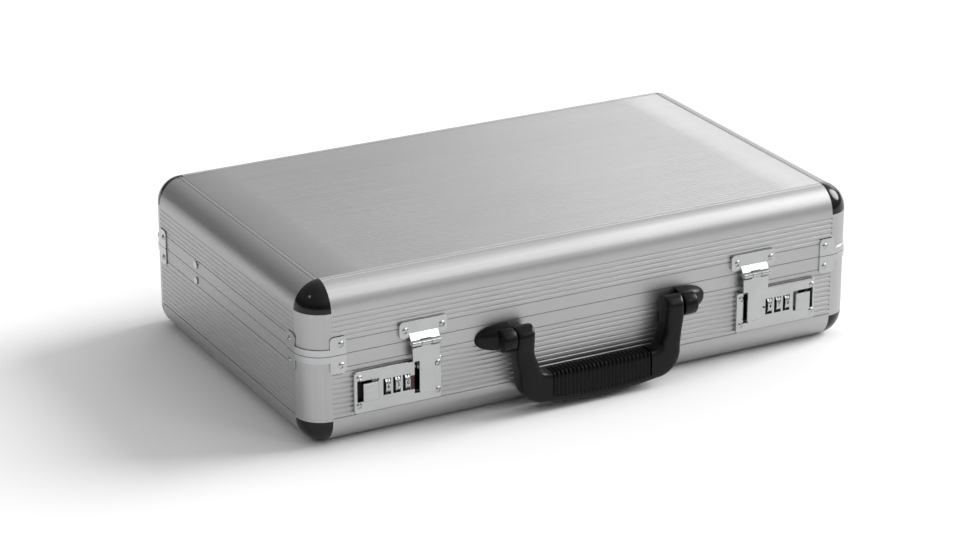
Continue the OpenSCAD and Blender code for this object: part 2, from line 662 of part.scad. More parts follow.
module hinge_leaf(up) color(ALUMINIUM) difference() {
    union() {
        translate([-hinge_half, half_d + fit, seam_z])
            box3([0, 0, up > 0 ? hinge_leaf_gap : -hinge_leaf_h],
                 [2 * hinge_half, hinge_leaf_t - fit, up > 0 ? hinge_leaf_h : -hinge_leaf_gap]);
        for (i = [(up > 0 ? 1 : 0) : 2 : knuckles - 1])
            translate([-hinge_half + i * knuckle_len + 0.15, hinge_y, seam_z]) {
                rotate([0, 90, 0]) cylinder(h = knuckle_len - 0.3, r = knuckle_r, $fn = 32);
                box3([0, fit - hinge_t, up > 0 ? 0 : -hinge_leaf_gap - eps],
                     [knuckle_len - 0.3, hinge_leaf_t - hinge_t, up > 0 ? hinge_leaf_gap + eps : 0]);
            }
    }
    translate([-hinge_half - 1, hinge_y, seam_z]) rotate([0, 90, 0])
        cylinder(h = 2 * hinge_half + 2, r = hinge_pin_r + (up > 0 ? fit : 0));
    for (x = hinge_rivet_xs) hinge_rivet(x, up) rivet_hole();
}
module hinge_pin() color(CHROME) translate([-hinge_half, hinge_y, seam_z]) rotate([0, 90, 0])
    cylinder(h = 2 * hinge_half, r = hinge_pin_r);

// ---------- stays ----------

// One link between two pivots, (y, z) each
module stay_link(a, b, u, hole_a, hole_b) {
    length = norm(b - a);
    angle = atan2(b[1] - a[1], b[0] - a[0]);
    translate([half_w - u[1], a[0], a[1]]) rotate([angle, 0, 0]) rotate([0, 90, 0]) rotate([0, 0, 90])
        linear_extrude(height = u[1] - u[0]) difference() {
            union() {
                translate([0, -stay_half]) square([length, 2 * stay_half]);
                circle(stay_half);
                translate([length, 0]) circle(stay_half);
            }
            circle(hole_a);
            translate([length, 0]) circle(hole_b);
        }
}
rear_low = [stay_rear_y, seam_z - stay_dz];
rear_high = [stay_rear_y, seam_z + stay_dz];
elbow = [stay_elbow_y, seam_z];
// The lower link turns on the base's pin and carries the elbow's pin
module stay_lower(s) side(s) color(CHROME) {
    stay_link(rear_low, elbow, stay_lower_u, stay_pin_r + fit, stay_pin_r - 0.2);
    translate([half_w - stay_upper_u[1] - 0.6, elbow[0], elbow[1]]) rotate([0, 90, 0]) {
        cylinder(h = stay_upper_u[1] + 0.6 - stay_lower_u[0], r = stay_pin_r - 0.2);
        cylinder(h = 0.5, r = stay_head_r);
    }
}
module stay_upper(s) side(s) color(CHROME)
    stay_link(rear_high, elbow, stay_upper_u, stay_pin_r + fit, stay_pin_r);

base_bottom_panel();
base_profile(0, 2 * post_x);  // base_front_profile
base_profile(180, 2 * post_x);  // base_back_profile
base_profile(270, 2 * post_y);  // base_left_profile
base_profile(90, 2 * post_y);  // base_right_profile
base_corner_posts();
cap(-1, -1, false);  // base_cap_front_left
cap(1, -1, false);  // base_cap_front_right
cap(-1, 1, false);  // base_cap_back_left
cap(1, 1, false);  // base_cap_back_right
base_corner_brackets();
base_lining();
base_rivets();
lid_top_panel();
lid_profile(0, 2 * post_x);  // lid_front_profile
lid_profile(180, 2 * post_x);  // lid_back_profile
lid_profile(270, 2 * post_y);  // lid_left_profile
lid_profile(90, 2 * post_y);  // lid_right_profile
lid_corner_posts();
cap(-1, -1, true);  // lid_cap_front_left
cap(1, -1, true);  // lid_cap_front_right
cap(-1, 1, true);  // lid_cap_back_left
cap(1, 1, true);  // lid_cap_back_right
lid_corner_brackets();
lid_lining();
lid_rivets();
lock_plate(-1);  // lock_plate_left
lock_plate(1);  // lock_plate_right
lock_case(-1);  // lock_case_left
lock_case(1);  // lock_case_right
dial_axle(-1);  // dial_axle_left
dial_axle(1);  // dial_axle_right
dial(-1, 0);  // dial_left_1
dial(-1, 1);  // dial_left_2
dial(-1, 2);  // dial_left_3
dial(1, 0);  // dial_right_1
dial(1, 1);  // dial_right_2
dial(1, 2);  // dial_right_3
slide_button(-1);  // slide_button_left
slide_button(1);  // slide_button_right
button_spring(-1);  // button_spring_left
button_spring(1);  // button_spring_right
keeper(-1);  // keeper_left
keeper(1);  // keeper_right
hasp(-1);  // hasp_left
hasp(1);  // hasp_right
hasp_pin(-1);  // hasp_pin_left
hasp_pin(1);  // hasp_pin_right
handle();
handle_mount(-1);  // handle_mount_left
handle_mount(1);  // handle_mount_right
handle_pins();
hinge_leaf(-1);  // hinge_leaf_base
hinge_leaf(1);  // hinge_leaf_lid
hinge_pin();
stay_lower(-1);  // stay_lower_left
stay_lower(1);  // stay_lower_right
stay_upper(-1);  // stay_upper_left
stay_upper(1);  // stay_upper_right
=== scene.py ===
import json
import math
import bpy
import bmesh
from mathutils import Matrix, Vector


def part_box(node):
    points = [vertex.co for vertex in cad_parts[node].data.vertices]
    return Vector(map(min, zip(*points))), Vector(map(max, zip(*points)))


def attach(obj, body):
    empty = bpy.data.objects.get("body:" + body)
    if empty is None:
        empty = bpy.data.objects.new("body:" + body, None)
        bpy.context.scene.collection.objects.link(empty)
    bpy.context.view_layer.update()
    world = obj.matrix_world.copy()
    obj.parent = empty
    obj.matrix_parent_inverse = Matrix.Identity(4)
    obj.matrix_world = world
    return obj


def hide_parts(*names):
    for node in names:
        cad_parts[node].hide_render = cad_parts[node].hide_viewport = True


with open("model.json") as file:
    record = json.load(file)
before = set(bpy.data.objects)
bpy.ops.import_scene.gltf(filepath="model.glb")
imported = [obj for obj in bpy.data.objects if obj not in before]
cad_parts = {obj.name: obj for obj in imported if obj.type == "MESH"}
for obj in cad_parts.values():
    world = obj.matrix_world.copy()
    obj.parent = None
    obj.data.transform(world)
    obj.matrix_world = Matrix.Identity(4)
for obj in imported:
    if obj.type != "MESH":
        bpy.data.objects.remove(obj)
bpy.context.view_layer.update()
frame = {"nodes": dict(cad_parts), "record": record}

MM = 0.001


# ---------- material helpers ----------

class Nodes:
    """A short way to write a node tree: each call adds a node and returns its first output."""

    def __init__(self, name):
        self.material = bpy.data.materials.new(name)
        self.material.use_nodes = True
        self.tree = self.material.node_tree
        self.shader = self.tree.nodes["Principled BSDF"]

    def put(self, value, socket):
        if isinstance(value, bpy.types.NodeSocket):
            self.tree.links.new(value, socket)
        elif value is not None:
            socket.default_value = value

    def add(self, kind, inputs=None, out=0, **settings):
        node = self.tree.nodes.new(kind)
        for key, value in settings.items():
            setattr(node, key, value)
        for key, value in (inputs or {}).items():
            self.put(value, node.inputs[key])
        return node.outputs[out]

    def point(self, scale=(1, 1, 1), rotation=(0, 0, 0)):
        """The object's own coordinates, which are the row frame in metres."""
        where = self.add("ShaderNodeTexCoord", out=3)
        return self.add("ShaderNodeMapping", {"Vector": where, "Scale": scale, "Rotation": rotation})

    def noise(self, scale, detail=3.0, roughness=0.5, stretch=(1, 1, 1)):
        return self.add("ShaderNodeTexNoise", {
            "Vector": self.point(stretch), "Scale": scale, "Detail": detail, "Roughness": roughness})

    def math(self, operation, a, b=None, c=None):
        return self.add("ShaderNodeMath", {0: a, 1: b, 2: c}, operation=operation)

    def range(self, value, low, high, to_low=0.0, to_high=1.0):
        return self.add("ShaderNodeMapRange", {
            "Value": value, "From Min": low, "From Max": high, "To Min": to_low, "To Max": to_high})

    def mix(self, factor, a, b):
        return self.add("ShaderNodeMix", {0: factor, 6: a, 7: b}, out=2, data_type="RGBA")

    def bump(self, height, distance, strength=1.0, normal=None):
        return self.add("ShaderNodeBump", {
            "Height": height, "Distance": distance, "Strength": strength, "Normal": normal})

    def set(self, **values):
        for key, value in values.items():
            self.put(value, self.shader.inputs[key.replace("_", " ")])
        return self.material


def grey(value, warm=0.0):
    return (value * (1 + warm), value, value * (1 - warm), 1)


# ---------- materials ----------

def aluminium(name, tone, brush_axis, rough=0.34):
    """Satin anodised aluminium: drawing lines along one axis, cloudy tone, a few fine scratches."""
    n = Nodes(name)
    stretch = [900.0, 900.0, 900.0]
    stretch[brush_axis] = 5.0
    lines = n.noise(1.0, 4, 0.6, stretch)
    cloud = n.noise(9.0, 3)
    scratches = n.noise(1.0, 2, 0.5, [v * 0.25 + 20 for v in stretch])
    marks = n.range(scratches, 0.70, 0.76)
    tint = n.mix(n.range(cloud, 0.3, 0.7), grey(tone * 0.95, -0.004), grey(tone * 1.04, 0.002))
    streaked = n.mix(n.range(lines, 0.35, 0.75), tint, grey(tone * 1.08, -0.002))
    colour = n.mix(n.math("MULTIPLY", marks, 0.25), streaked, grey(tone * 1.3))
    dull = n.math("MULTIPLY_ADD", lines, 0.12, rough - 0.06)
    return n.set(Base_Color=colour, Metallic=1.0, Roughness=dull,
                 Normal=n.bump(lines, 0.00005, 0.6))


def chrome(name, tone=0.46, rough=0.15):
    """Plated steel and zinc: near mirror, with polishing marks and a slight casting ripple."""
    n = Nodes(name)
    marks = n.noise(420.0, 3, 0.6, (1, 1, 5))
    ripple = n.noise(60.0, 2)
    rough_map = n.range(marks, 0.3, 0.75, rough - 0.04, rough + 0.08)
    tint = n.mix(n.range(ripple, 0.3, 0.7), grey(tone * 0.96, -0.012), grey(tone * 1.04, -0.004))
    return n.set(Base_Color=tint, Metallic=1.0, Roughness=rough_map,
                 Normal=n.bump(ripple, 0.00012, 0.35))


def gloss_black(name):
    """Polished black plastic with moulding ripple and hairline scuffs."""
    n = Nodes(name)
    ripple = n.noise(55.0, 2)
    scuffs = n.noise(380.0, 6, 0.7, (1, 3, 1))
    rough_map = n.range(scuffs, 0.45, 0.8, 0.12, 0.28)
    tint = n.mix(n.range(scuffs, 0.6, 0.85), grey(0.003, -0.03), grey(0.012, -0.03))
    return n.set(Base_Color=tint, Roughness=rough_map, Specular_IOR_Level=0.35,
                 Normal=n.bump(ripple, 0.0001, 0.4))


def grained_black(name, tone=0.004):
    """Moulded plastic with a fine pebble grain, a little polished by use."""
    n = Nodes(name)
    grain = n.add("ShaderNodeTexVoronoi", {"Vector": n.point(), "Scale": 1400.0})
    cloud = n.noise(40.0, 3)
    colour = n.mix(n.range(cloud, 0.3, 0.7), grey(tone * 0.8, -0.02), grey(tone * 1.3, -0.02))
    return n.set(Base_Color=colour, Roughness=n.range(cloud, 0.3, 0.7, 0.26, 0.36),
                 Specular_IOR_Level=0.2,
                 Normal=n.bump(grain, 0.00005, 0.35))


def paint_fill(name, colour):
    """Filled enamel in numerals and marks, slightly uneven."""
    n = Nodes(name)
    wear = n.noise(900.0, 4, 0.6)
    dark = tuple(c * 0.6 for c in colour[:3]) + (1,)
    return n.set(Base_Color=n.mix(n.range(wear, 0.35, 0.7), dark, colour),
                 Roughness=n.range(wear, 0.3, 0.7, 0.35, 0.55), Normal=n.bump(wear, 0.00003, 0.5))


def lining_cloth(name):
    """Short-pile lining cloth over board."""
    n = Nodes(name)
    weave = n.add("ShaderNodeTexVoronoi", {"Vector": n.point(), "Scale": 1100.0})
    pile = n.noise(1400.0, 4, 0.7)
    shade = n.noise(14.0, 3)
    height = n.math("MULTIPLY_ADD", weave, 0.5, pile)
    colour = n.mix(n.range(shade, 0.3, 0.7), grey(0.024, -0.03), grey(0.045, -0.03))
    flecked = n.mix(n.range(pile, 0.5, 0.8), colour, grey(0.075, -0.03))
    return n.set(Base_Color=flecked, Roughness=0.95, Sheen_Weight=0.4, Sheen_Roughness=0.5,
                 Normal=n.bump(height, 0.0004, 0.7))


def make_materials():
    return {
        "panel_aluminium": aluminium("panel_aluminium", 0.46, 0, 0.42),
        "profile_x": aluminium("profile_aluminium_x", 0.44, 0, 0.44),
        "profile_y": aluminium("profile_aluminium_y", 0.41, 1, 0.44),
        "profile_z": aluminium("profile_aluminium_z", 0.42, 2, 0.40),
        "cap_gloss_black": gloss_black("cap_gloss_black"),
        "handle_black_plastic": grained_black("handle_black_plastic", 0.002),
        "lock_case_black": grained_black("lock_case_black", 0.008),
        "chrome": chrome("chrome"),
        "dial_metal": chrome("dial_metal", 0.50, 0.24),
        "steel": chrome("steel", 0.42, 0.3),
        "lining_fabric": lining_cloth("lining_fabric"),
        "numeral_black": paint_fill("numeral_black", (0.012, 0.012, 0.012, 1)),
        "index_red": paint_fill("index_red", (0.085, 0.004, 0.007, 1)),
    }


def paint(obj, material):
    obj.data.materials.clear()
    obj.data.materials.append(material)


def dress_cad(mats):
    """Gives every CAD node the finish of its slot; profiles are drawn along their own length."""
    for part in frame["record"]["subparts"]:
        name = part["node"]
        slot = part["material_slot"]
        if slot == "profile_aluminium":
            slot = "profile_z" if "post" in name else (
                "profile_y" if "left" in name or "right" in name else "profile_x")
        paint(frame["nodes"][name], mats[slot])


# ---------- mesh helpers ----------

BODY_OF = {node: body for body, nodes in frame["record"]["behaviour"]["bodies"].items()
           for node in nodes}
SLOT_OF = {part["node"]: part["material_slot"] for part in frame["record"]["subparts"]}


def smooth(mesh, degrees=35):
    mesh.polygons.foreach_set("use_smooth", [True] * len(mesh.polygons))
    mesh.set_sharp_from_angle(angle=math.radians(degrees))


def piece(name, mesh, material, body, stands_for=()):
    """Links a mesh as a piece of the object, on a body, in place of CAD nodes."""
    obj = bpy.data.objects.new(name, mesh)
    bpy.context.scene.collection.objects.link(obj)
    paint(obj, material)
    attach(obj, body)
    if stands_for:
        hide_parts(*stands_for)
    return obj


def mesh_from(name, points, faces, degrees=35):
    mesh = bpy.data.meshes.new(name)
    mesh.from_pydata([tuple(p) for p in points], [], faces)
    bm = bmesh.new()
    bm.from_mesh(mesh)
    bmesh.ops.recalc_face_normals(bm, faces=bm.faces)
    bm.to_mesh(mesh)
    bm.free()
    smooth(mesh, degrees)
    return mesh


def loft(name, rings, closed_ends=True, degrees=35):
    """Skins closed rings of equal length into one closed mesh."""
    count = len(rings[0])
    points = [p for ring in rings for p in ring]
    faces = []
    for i in range(len(rings) - 1):
        for j in range(count):
            k = (j + 1) % count
            faces.append((i * count + j, i * count + k, (i + 1) * count + k, (i + 1) * count + j))
    if closed_ends:
        faces.append(tuple(range(count)))
        last = (len(rings) - 1) * count
        faces.append(tuple(last + j for j in range(count)))
    return mesh_from(name, points, faces, degrees)


def weld(mesh, turn_out=False):
    """Joins the seam where a closed loft's last ring meets its first."""
    bm = bmesh.new()
    bm.from_mesh(mesh)
    bmesh.ops.remove_doubles(bm, verts=bm.verts, dist=1e-7)
    if turn_out:
        bmesh.ops.recalc_face_normals(bm, faces=bm.faces)
    bm.to_mesh(mesh)
    bm.free()


def weigh_normals(mesh, degrees=50):
    """Turns each corner's normal toward the large faces round it, so that flat faces stay flat."""
    limit = math.cos(math.radians(degrees))
    around = [[] for _ in mesh.vertices]
    for face in mesh.polygons:
        for v in face.vertices:
            around[v].append((face.normal.copy(), face.area))
    normals = []
    for face in mesh.polygons:
        for v in face.vertices:
            total = Vector()
            for normal, area in around[v]:
                if normal.dot(face.normal) > limit:
                    total += normal * area
            normals.append(total.normalized() if total.length > 0 else face.normal.copy())
    mesh.normals_split_custom_set(normals)


def refined(node, edge, wide=0.0, pick=None, material=None, degrees=28):
    """A copy of a CAD node with its sharp edges rolled over: `edge` metres on every edge, and
    `wide` on those that pick() chooses. It replaces the node."""
    source = frame["nodes"][node]
    mesh = source.data.copy()
    mesh.name = node + "_finished"
    bm = bmesh.new()
    bm.from_mesh(mesh)
    bmesh.ops.remove_doubles(bm, verts=bm.verts, dist=2e-6)
    bmesh.ops.dissolve_limit(bm, angle_limit=math.radians(0.6), verts=bm.verts, edges=bm.edges)
    sharp = math.radians(degrees)

    def is_sharp(e):
        return len(e.link_faces) == 2 and e.calc_face_angle(0.0) > sharp
    if pick:
        chosen = [e for e in bm.edges if is_sharp(e) and pick((e.verts[0].co + e.verts[1].co) / 2)]
        bmesh.ops.bevel(bm, geom=chosen, offset=wide, segments=4, profile=0.5, affect="EDGES",
                        clamp_overlap=True)
    if edge > 0:
        rest = [e for e in bm.edges if is_sharp(e) and e.calc_length() > edge * 0.8]
        bmesh.ops.bevel(bm, geom=rest, offset=edge, segments=2, profile=0.5, affect="EDGES",
                        clamp_overlap=True)
    bm.to_mesh(mesh)
    bm.free()
    smooth(mesh, 40)
    weigh_normals(mesh)
    slot = SLOT_OF[node]
    return piece(node + "_finished", mesh, material or mats[slot], BODY_OF[node], (node,))


# ---------- panels ----------

RIB_PITCH = 3.4 * MM
RIB_DEPTH = 0.20 * MM
PANEL_STEP = 0.34 * MM


def panel_drop(y):
    """How far the panel's face lies below its highest ribs, at a distance y from the middle."""
    phase = (y / RIB_PITCH) % 1.0
    groove = math.exp(-((phase - 0.5) / 0.16) ** 2)
    uneven = 0.88 + 0.12 * math.sin(y * 211.0) * math.sin(y * 97.0 + 1.0)
    wave = 0.5 - 0.5 * math.cos(y * 61.0)
    return RIB_DEPTH * groove * uneven + 0.015 * MM * wave


def ribbed_panel(node, face, inner):
    """A sheet with drawn ribs along the case, from its outer face to its inner face."""
    low, high = (Vector(c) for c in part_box(node))
    way = 1 if face > inner else -1
    steps = int((high.y - low.y) / PANEL_STEP)
    section = []
    for i in range(steps + 1):
        y = low.y + (high.y - low.y) * i / steps
        edge = min(i, steps - i)
        drop = panel_drop(y) if edge > 3 else (0.25 * MM if edge == 0 else 0.05 * MM)
        section.append((y, face - way * drop))
    section += [(high.y, inner), (low.y, inner)]
    inset = 0.3 * MM
    columns = [low.x, low.x + inset] + [low.x + (high.x - low.x) * k / 12 for k in range(1, 12)]
    columns += [high.x - inset, high.x]
    rings = []
    for x in columns:
        ends = 0.25 * MM if x in (low.x, high.x) else 0.0
        rings.append([Vector((x, y, z - (way * ends if abs(z - inner) > 0.5 * MM else 0.0)))
                      for y, z in section])
    return piece(node + "_ribbed", loft(node + "_ribbed", rings, degrees=50),
                 mats["panel_aluminium"], BODY_OF[node], (node,))


def make_panels():
    top_low, top_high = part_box("lid_top_panel")
    ribbed_panel("lid_top_panel", top_high[2], top_low[2])
    low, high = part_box("base_bottom_panel")
    ribbed_panel("base_bottom_panel", low[2], high[2])


# ---------- handle ----------

WALL_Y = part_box("base_front_profile")[0][1]        # the front wall's outer face
ARM_HALF_WIDTH, ARM_FOOT = 70.2 * MM, 67.3 * MM
ARM_STRAIGHT_Z = 50 * MM
PIVOT_T, PIVOT_Z = 10 * MM, 60 * MM
ARM_END_R = 8.8 * MM
ARM_HALF_T = 7.5 * MM
GRIP_TOP, GRIP_LOW, GRIP_BOW = 30.5 * MM, 3.5 * MM, 3.9 * MM
GRIP_HALF = 41.5 * MM                               # the ribbed length of the grip
GRIP_RIBS = 25
GROOVE_DEPTH = 1.35 * MM
CORNER_R = 20 * MM
ARM_INNER, GAP_HALF = 55.5 * MM, 50 * MM            # the gap's half width at the top and foot
ARM_S, CORNER_S = 0.34, 0.638                       # where the inner edge's corner starts and ends


def blend_to(a, b, low, high, at):
    """From a to b as `at` goes from low to high, with soft ends."""
    f = min(max((at - low) / (high - low), 0.0), 1.0)
    return a + (b - a) * f * f * (3 - 2 * f)


def handle_outer(s):
    """The handle's outer edge: s runs 0 at the arm's top to 1 at the middle of the grip."""
    corner_x = ARM_FOOT - CORNER_R
    corner_z = GRIP_LOW + GRIP_BOW + CORNER_R
    top = PIVOT_Z + ARM_END_R
    arm, arc = top - corner_z, CORNER_R * math.pi / 2
    bow = corner_x
    at = s * (arm + arc + bow)
    if at < arm:
        x = blend_to(ARM_FOOT, ARM_HALF_WIDTH, corner_z, ARM_STRAIGHT_Z + 4 * MM, top - at)
        return Vector((x, top - at))
    if at < arm + arc:
        angle = (at - arm) / CORNER_R
        return Vector((corner_x + CORNER_R * math.cos(angle), corner_z - CORNER_R * math.sin(angle)))
    x = corner_x - (at - arm - arc)
    return Vector((x, GRIP_LOW + GRIP_BOW * (x / corner_x) ** 2))


def handle_inner(s):
    """The inner edge, matched to the outer one: down the arm, round the finger gap's corner."""
    top = PIVOT_Z + ARM_END_R
    radius = 7 * MM
    if s < ARM_S:
        z = top + (GRIP_TOP + radius - top) * s / ARM_S
        return Vector((blend_to(GAP_HALF, ARM_INNER, GRIP_TOP, ARM_STRAIGHT_Z, z), z))
    if s < CORNER_S:
        start = handle_inner(ARM_S - 1e-6)
        f = (s - ARM_S) / (CORNER_S - ARM_S)
        low = Vector((handle_outer(CORNER_S).x, GRIP_TOP))
        mid = Vector((start.x - 0.6 * MM, GRIP_TOP))
        return (1 - f) ** 2 * start + 2 * f * (1 - f) * mid + f * f * low
    return Vector((handle_outer(s).x, GRIP_TOP))


def arm_depth(z, x):
    """The section's half depth and middle, t from the wall, at a height on the arm."""
    rise = z - PIVOT_Z
    if rise > 0:
        half = max(math.sqrt(max(ARM_END_R ** 2 - rise ** 2, 0.0)), 0.9 * MM)
    else:
        half = blend_to(ARM_END_R, ARM_HALF_T, 0.0, 16 * MM, -rise)
    grip = blend_to(0.0, 1.0, 46 * MM, 22 * MM, z) if x > 30 * MM else 1.0
    half = half + (8 * MM - half) * grip
    middle = PIVOT_T + (11 * MM - PIVOT_T) * grip
    return half, middle


def grip_groove(x):
    """0 on a rib's crest to 1 in a groove, over the ribbed length."""
    if abs(x) > GRIP_HALF:
        return 0.0
    phase = ((x + GRIP_HALF) / (2 * GRIP_HALF) * GRIP_RIBS) % 1.0
    return 0.5 + 0.5 * math.cos(2 * math.pi * phase)


def handle_ring(s, side):
    """One section of the handle, a rounded box from the outer edge to the inner edge."""
    outer, inner = handle_outer(s), handle_inner(s)
    across = inner - outer
    middle_z = (outer.y + inner.y) / 2
    height = blend_to(outer.y, middle_z, ARM_S - 0.10, ARM_S + 0.14, s)
    half, mid_t = arm_depth(height, abs(outer.x))
    ring = []
    count = 56
    power = 0.42
    for k in range(count):
        a = 2 * math.pi * k / count
        u = math.copysign(abs(math.cos(a)) ** power, math.cos(a))
        v = math.copysign(abs(math.sin(a)) ** power, math.sin(a))
        place = outer + across * (0.5 + 0.5 * u)
        t = mid_t + half * v
        on_top = blend_to(0.0, 1.0, 0.55, 0.95, u)
        on_front = blend_to(0.0, 1.0, 0.5, 0.9, v) * blend_to(0.0, 1.0, -0.62, -0.50, u)
        depth = GROOVE_DEPTH * grip_groove(outer.x)
        place = place + Vector((0.0, -1.0)) * depth * on_top
        t -= depth * on_front
        ring.append(Vector((side * place.x, WALL_Y - t, place.y)))
    return ring


def handle_stations():
    """Dense where the arm's end is round and along the ribs."""
    end = [0.0004 + 0.06 * (1 - math.cos(math.pi / 2 * i / 12)) for i in range(13)]
    arm = [0.0604 + (CORNER_S - 0.0604) * i / 56 for i in range(1, 57)]
    grip = [CORNER_S + (1 - CORNER_S) * i / 150 for i in range(1, 151)]
    return end + arm + grip


def make_handle():
    stations = handle_stations()
    half = [handle_ring(s, -1) for s in stations]
    other = [handle_ring(s, 1) for s in reversed(stations[:-1])]
    mesh = loft("handle_moulding", half + other, degrees=45)
    return piece("handle_moulding", mesh, mats["handle_black_plastic"], "handle",
                 ("handle",))


def dome_point(node_box, side, p, q):
    """A point of the mount's bullet dome: p along the wall from the barrel, q across from -1 to 1."""
    low, high = node_box
    length = high - low
    mid_z, half_z = 59.7 * MM, 10.1 * MM
    width = half_z * (1 - p ** 2.6) ** (1 / 2.2)
    height = 11.5 * MM * (1 - p ** 1.5) ** 0.62 * (1 - abs(q) ** 3.2) ** 0.5
    return Vector((side * (low + length * p), WALL_Y - 0.05 * MM - height, mid_z + width * q))


def make_mount(name, side):
    """The handle's mount: a bullet-shaped dome on the wall and the barrel that holds the pin."""
    low_x, high_x = 70.7 * MM, 96.6 * MM
    across, along = 28, 30
    points, faces = [], []
    for i in range(along + 1):
        p = math.sin(math.pi / 2 * i / along)
        for j in range(across + 1):
            q = math.sin(math.pi / 2 * (2 * j / across - 1))
            points.append(dome_point((low_x, high_x), side, min(p, 0.9995), q))
    row = across + 1
    for i in range(along):
        for j in range(across):
            a = i * row + j
            faces.append((a, a + 1, a + row + 1, a + row))
    outline = list(range(row)) + [i * row + across for i in range(1, along + 1)]
    outline += [along * row + j for j in range(across - 1, -1, -1)]
    outline += [i * row for i in range(along - 1, 0, -1)]
    faces.append(tuple(outline))
    dome = mesh_from(name + "_dome", points, faces, 50)
    black = mats["handle_black_plastic"]
    piece(name + "_dome", dome, black, "base", (name,))
    # the barrel: a lathe round the pivot, over a foot that runs down to the wall
    sides = 48
    profile = [(0.0, 0.93), (0.25, 0.98), (0.7, 1.0), (6.0, 1.0), (9.6, 0.99), (10.4, 0.96), (10.8, 0.9)]
    rings = []
    for x, scale in profile:
        ring = []
        for k in range(sides):
            a = 2 * math.pi * k / sides
            t = PIVOT_T + ARM_END_R * scale * math.cos(a)
            z = PIVOT_Z + ARM_END_R * scale * math.sin(a)
            if math.cos(a) < 0:
                t = 0.4 * MM + (PIVOT_T - 0.4 * MM) * (1 - abs(math.cos(a)) ** 3)
                z = PIVOT_Z + ARM_END_R * scale * math.copysign(
                    min(1.0, abs(math.sin(a)) ** 0.45), math.sin(a))
            ring.append(Vector((side * (low_x + x * MM), WALL_Y - t, z)))
        rings.append(ring)
    barrel = loft(name + "_barrel", rings, degrees=45)
    piece(name + "_barrel", barrel, black, "base", (name,))


# ---------- locks ----------

LOCK_T = 3.2 * MM
DIAL_R = 9 * MM
DIAL_AXIS_T, DIAL_AXIS_Z = -4.6 * MM, 40 * MM
DIAL_X, DIAL_PITCH, DIAL_HALF = 153.1 * MM, 7.8 * MM, 2.7 * MM
HASP_EDGE = 146.7 * MM


def lock_plate_rim(side):
    """Picks the edges of a lock plate's outer face that its maker rolled over."""
    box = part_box("lock_plate_left" if side < 0 else "lock_plate_right")
    near = 0.6 * MM

    def pick(at):
        at_face = abs(at.y - box[0][1]) < 0.1 * MM
        at_rim = (abs(at.x - box[0][0]) < near * 2 or abs(at.x - box[1][0]) < near * 2
                  or abs(at.z - box[0][2]) < near * 2 or abs(at.z - box[1][2]) < near * 2)
        return at_face and at_rim
    return pick


def digit_mesh(text):
    """One numeral as a flat mesh, one unit high, centred."""
    curve = bpy.data.curves.new("numeral", "FONT")
    curve.body = text
    curve.size = 1.0
    curve.align_x, curve.align_y = "CENTER", "CENTER"
    curve.offset = 0.012
    curve.extrude = 0.02
    curve.resolution_u = 4
    holder = bpy.data.objects.new("numeral", curve)
    mesh = bpy.data.meshes.new_from_object(holder)
    bpy.data.objects.remove(holder)
    return mesh


NUMERALS = [digit_mesh(str(d)) for d in range(10)]


def turned(name, centre, profile, flats):
    """A wheel turned about X from its profile in mm, with ten flats or a knurled edge."""
    steps = 240
    rings = []
    for k in range(steps):
        a = 2 * math.pi * k / steps
        knurl = 0.5 - 0.5 * math.cos(40 * a)
        flat = math.cos(math.pi / 10) / math.cos((a + math.pi / 10) % (math.pi / 5) - math.pi / 10)
        ring = []
        for x, r, share in profile:
            radius = r - 0.75 * knurl * share
            if flats and r > 8:
                radius = r * (0.35 + 0.65 * min(flat * 1.03, 1.0))
            ring.append(centre + Vector((x * MM, -radius * MM * math.cos(a), radius * MM * math.sin(a))))
        rings.append(ring)
    rings.append(rings[0])
    mesh = loft(name, rings, closed_ends=False, degrees=32)
    weld(mesh, turn_out=True)
    return mesh


def make_dial(side, index):
    """A number wheel: a flat-sided number band, a knurled flange in black that also stands in for the
    shade in the gap beside the band, and ten filled numerals.
    """
    word = "left" if side < 0 else "right"
    node = "dial_%s_%d" % (word, index + 1)
    body = BODY_OF[node]
    centre = Vector((side * (DIAL_X + DIAL_PITCH * index), WALL_Y - DIAL_AXIS_T, DIAL_AXIS_Z))
    # (x from the wheel's middle, radius, share of the knurling)
    band = [(-1.1, 1.6, 0.0), (-1.1, 8.6, 0.0), (-0.9, 8.86, 0.0), (2.5, 8.86, 0.0), (2.7, 8.7, 0.0),
            (2.7, 1.6, 0.0)]
    flange = [(-2.7, 1.6, 0.0), (-2.7, 7.6, 0.5), (-2.5, 7.9, 1.0), (-1.4, 7.9, 1.0), (-1.15, 7.6, 0.5),
              (-1.15, 1.6, 0.0)]
    # the flange is black: partly its own colour, partly painted shade for the dark gap at the wheel's
    # side
    for part, profile, material in (("band", band, "dial_metal"), ("flange", flange, "lock_case_black")):
        mesh = turned(node + "_" + part, centre, profile, part == "band")
        piece(node + "_" + part, mesh, mats[material], body, (node,))
    # the numerals, wrapped on to the band
    points, faces = [], []
    height = 4.3 * MM
    shown = (3 * index + (0 if side < 0 else 4)) % 10
    for d, flat_mesh in enumerate(NUMERALS):
        turn = 2 * math.pi * ((d - shown) % 10) / 10
        first = len(points)
        for v in flat_mesh.vertices:
            along = v.co.y * height / (DIAL_R)
            a = -turn + along
            r = 8.80 * MM + (0.13 * MM if v.co.z > 0 else 0.0)
            points.append(centre + Vector((0.85 * MM + v.co.x * height * 0.95, -r * math.cos(a),
                                           r * math.sin(a))))
        faces += [tuple(first + i for i in f.vertices) for f in flat_mesh.polygons]
    numerals = mesh_from(node + "_numerals", points, faces, 30)
    piece(node + "_numerals", numerals, mats["numeral_black"], body, (node,))


